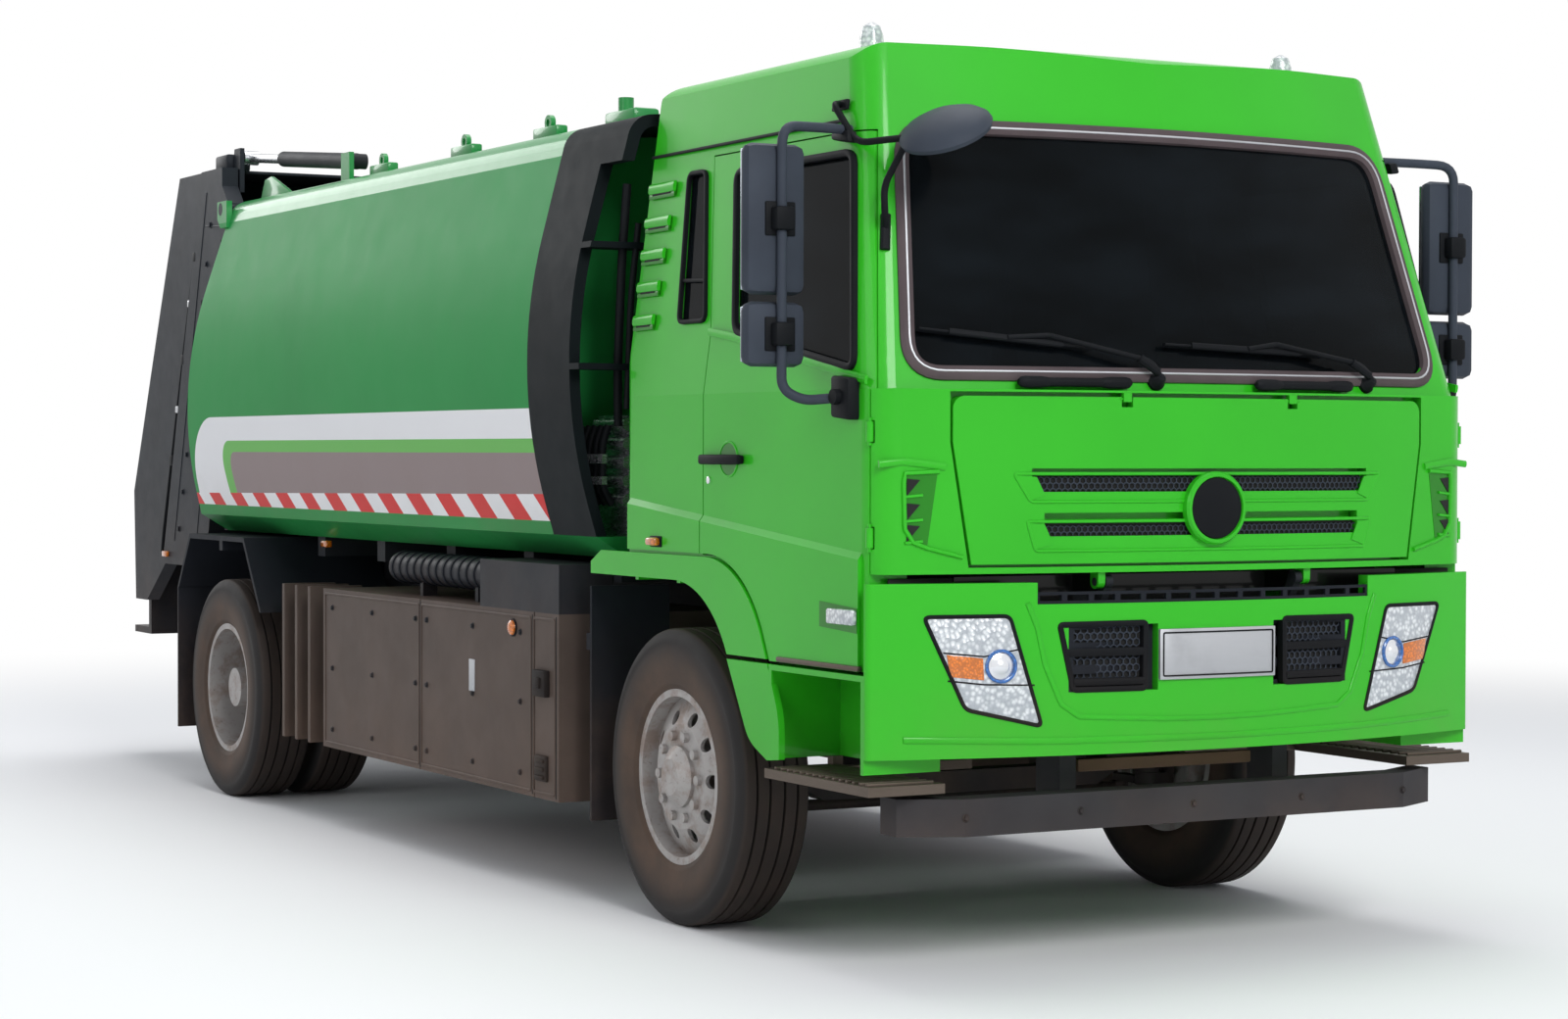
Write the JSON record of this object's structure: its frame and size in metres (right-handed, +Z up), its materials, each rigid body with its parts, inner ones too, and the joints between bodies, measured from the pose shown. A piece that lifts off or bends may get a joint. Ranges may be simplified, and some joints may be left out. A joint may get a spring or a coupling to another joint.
{
  "type": "rear-loading refuse truck",
  "caption": "Rear-loading refuse collection truck with a tilting cab, opening doors, a ram-lifted tailgate, a sliding carriage and a packer blade.",
  "frame": {"origin": "on the ground under the middle of the truck's length and width", "axes": "+X forward, +Y to the truck's left, +Z up"},
  "size_m": [8.1018, 2.856, 3.061],
  "materials": {
    "body_green": "satin",
    "box_brown": "satin",
    "dark_plastic": "matte",
    "frame_grey": "satin",
    "gate_grey": "satin",
    "glass": "clear",
    "green_paint": "gloss",
    "lamp_lens": "clear",
    "ram_steel": "polished",
    "red_lens": "clear",
    "rim_silver": "satin",
    "step_metal": "brushed",
    "trim_cloth": "matte",
    "tyre": "matte"
  },
  "bodies": {
    "chassis": {"frame_rails": "frame_grey", "front_axle": "frame_grey", "front_springs": "frame_grey", "rear_axle": "frame_grey", "rear_springs": "frame_grey", "traction_motor": "frame_grey", "propeller_shaft": "frame_grey", "body_side_left": "body_green", "body_side_right": "body_green", "body_roof": "body_green", "body_floor": "body_green", "body_bulkhead": "body_green", "subframe": "frame_grey", "front_cheek": "dark_plastic", "valve_bank": "ram_steel", "battery_boxes": "box_brown", "side_racks": "box_brown", "control_box": "box_brown", "rear_mudguards": "dark_plastic", "front_mudflaps": "dark_plastic", "front_bumper": "green_paint", "headlamps": "lamp_lens", "bumper_vents": "dark_plastic", "underrun_bar": "frame_grey", "step_wells": "dark_plastic", "entry_steps": "step_metal", "cab_mounts": "frame_grey"},
    "cab": {"cab_shell": "green_paint", "cab_glass": "glass", "front_fenders": "dark_plastic", "seats": "trim_cloth", "dashboard": "dark_plastic"},
    "front_flap_panel": {"front_panel": "green_paint", "grille_mesh": "dark_plastic"},
    "door_left": {"door_left": "green_paint", "door_glass_left": "glass", "mirror_left": "dark_plastic"},
    "door_right": {"door_right": "green_paint", "door_glass_right": "glass", "mirror_right": "dark_plastic"},
    "knuckle_left": {"knuckle_left": "frame_grey"},
    "knuckle_right": {"knuckle_right": "frame_grey"},
    "track_rod": {"track_rod": "frame_grey"},
    "wheel_front_left": {"front_tyre_left": "tyre", "front_rim_left": "rim_silver"},
    "wheel_front_right": {"front_tyre_right": "tyre", "front_rim_right": "rim_silver"},
    "wheels_rear_left": {"rear_tyres_left": "tyre", "rear_rims_left": "rim_silver"},
    "wheels_rear_right": {"rear_tyres_right": "tyre", "rear_rims_right": "rim_silver"},
    "tailgate": {"tailgate_frame": "gate_grey", "tailgate_shell": "gate_grey", "hopper_floor": "gate_grey", "tailgate_sill": "gate_grey", "rear_lamps": "red_lens"},
    "carriage": {"carriage": "gate_grey"},
    "packer": {"packer": "gate_grey"},
    "lift_barrels": {"lift_barrels": "frame_grey"},
    "lift_rods": {"lift_rods": "ram_steel"}
  },
  "joints": [
    {"name": "cab_tilt", "type": "hinge", "parent": "chassis", "child": "cab", "pos_m": [3.969, 0, 1.21], "axis": [0, 1, 0], "range_deg": [0, 45]},
    {"name": "front_panel_lift", "type": "hinge", "parent": "cab", "child": "front_flap_panel", "pos_m": [4.007, 0, 1.774], "axis": [0, -1, 0], "range_deg": [0, 75]},
    {"name": "door_left_hinge", "type": "hinge", "parent": "cab", "child": "door_left", "pos_m": [3.849, 1.145, 1.7], "axis": [0, 0, -1], "range_deg": [0, 65]},
    {"name": "door_right_hinge", "type": "hinge", "parent": "cab", "child": "door_right", "pos_m": [3.849, -1.145, 1.7], "axis": [0, 0, 1], "range_deg": [0, 65]},
    {"name": "steer_left", "type": "hinge", "parent": "chassis", "child": "knuckle_left", "pos_m": [2.519, 0.83, 0.505], "axis": [0, 0, 1], "range_deg": [-38, 38]},
    {"name": "steer_right", "type": "hinge", "parent": "chassis", "child": "knuckle_right", "pos_m": [2.519, -0.83, 0.505], "axis": [0, 0, 1], "range_deg": [-38, 38]},
    {"name": "track_rod_pivot", "type": "hinge", "parent": "knuckle_left", "child": "track_rod", "pos_m": [2.339, 0.83, 0.357], "axis": [0, 0, 1], "range_deg": [-38, 38]},
    {"name": "spin_front_left", "type": "hinge", "parent": "knuckle_left", "child": "wheel_front_left", "pos_m": [2.519, 1.005, 0.505], "axis": [0, 1, 0], "continuous": true},
    {"name": "spin_front_right", "type": "hinge", "parent": "knuckle_right", "child": "wheel_front_right", "pos_m": [2.519, -1.005, 0.505], "axis": [0, 1, 0], "continuous": true},
    {"name": "spin_rear_left", "type": "hinge", "parent": "chassis", "child": "wheels_rear_left", "pos_m": [-1.981, 1.085, 0.505], "axis": [0, 1, 0], "continuous": true},
    {"name": "spin_rear_right", "type": "hinge", "parent": "chassis", "child": "wheels_rear_right", "pos_m": [-1.981, -1.085, 0.505], "axis": [0, 1, 0], "continuous": true},
    {"name": "tailgate_lift", "type": "hinge", "parent": "chassis", "child": "tailgate", "pos_m": [-2.291, 0, 2.757], "axis": [0, 1, 0], "range_deg": [0, 80]},
    {"name": "carriage_slide", "type": "slide", "parent": "tailgate", "child": "carriage", "axis": [-0.2983, 0, -0.9545], "range_m": [0, 0.5]},
    {"name": "packer_swing", "type": "hinge", "parent": "carriage", "child": "packer", "pos_m": [-2.6458, 0, 2.17664], "axis": [0, 1, 0], "range_deg": [0, 80]},
    {"name": "lift_barrel_pivot", "type": "hinge", "parent": "chassis", "child": "lift_barrels", "pos_m": [-0.961, 0, 2.885], "axis": [0, 1, 0], "range_deg": [-3, 1]},
    {"name": "lift_rod_slide", "type": "slide", "parent": "lift_barrels", "child": "lift_rods", "axis": [0.9957, 0, -0.0927], "range_m": [0, 0.359]}
  ],
  "couplings": [
    {"joint": "steer_right", "follows": "steer_left", "ratio": 1},
    {"joint": "track_rod_pivot", "follows": "steer_left", "ratio": -1},
    {"joint": "lift_barrel_pivot", "follows": "tailgate_lift", "ratio": -0.035},
    {"joint": "lift_rod_slide", "follows": "tailgate_lift", "m_per_rad": 0.25413}
  ]
}
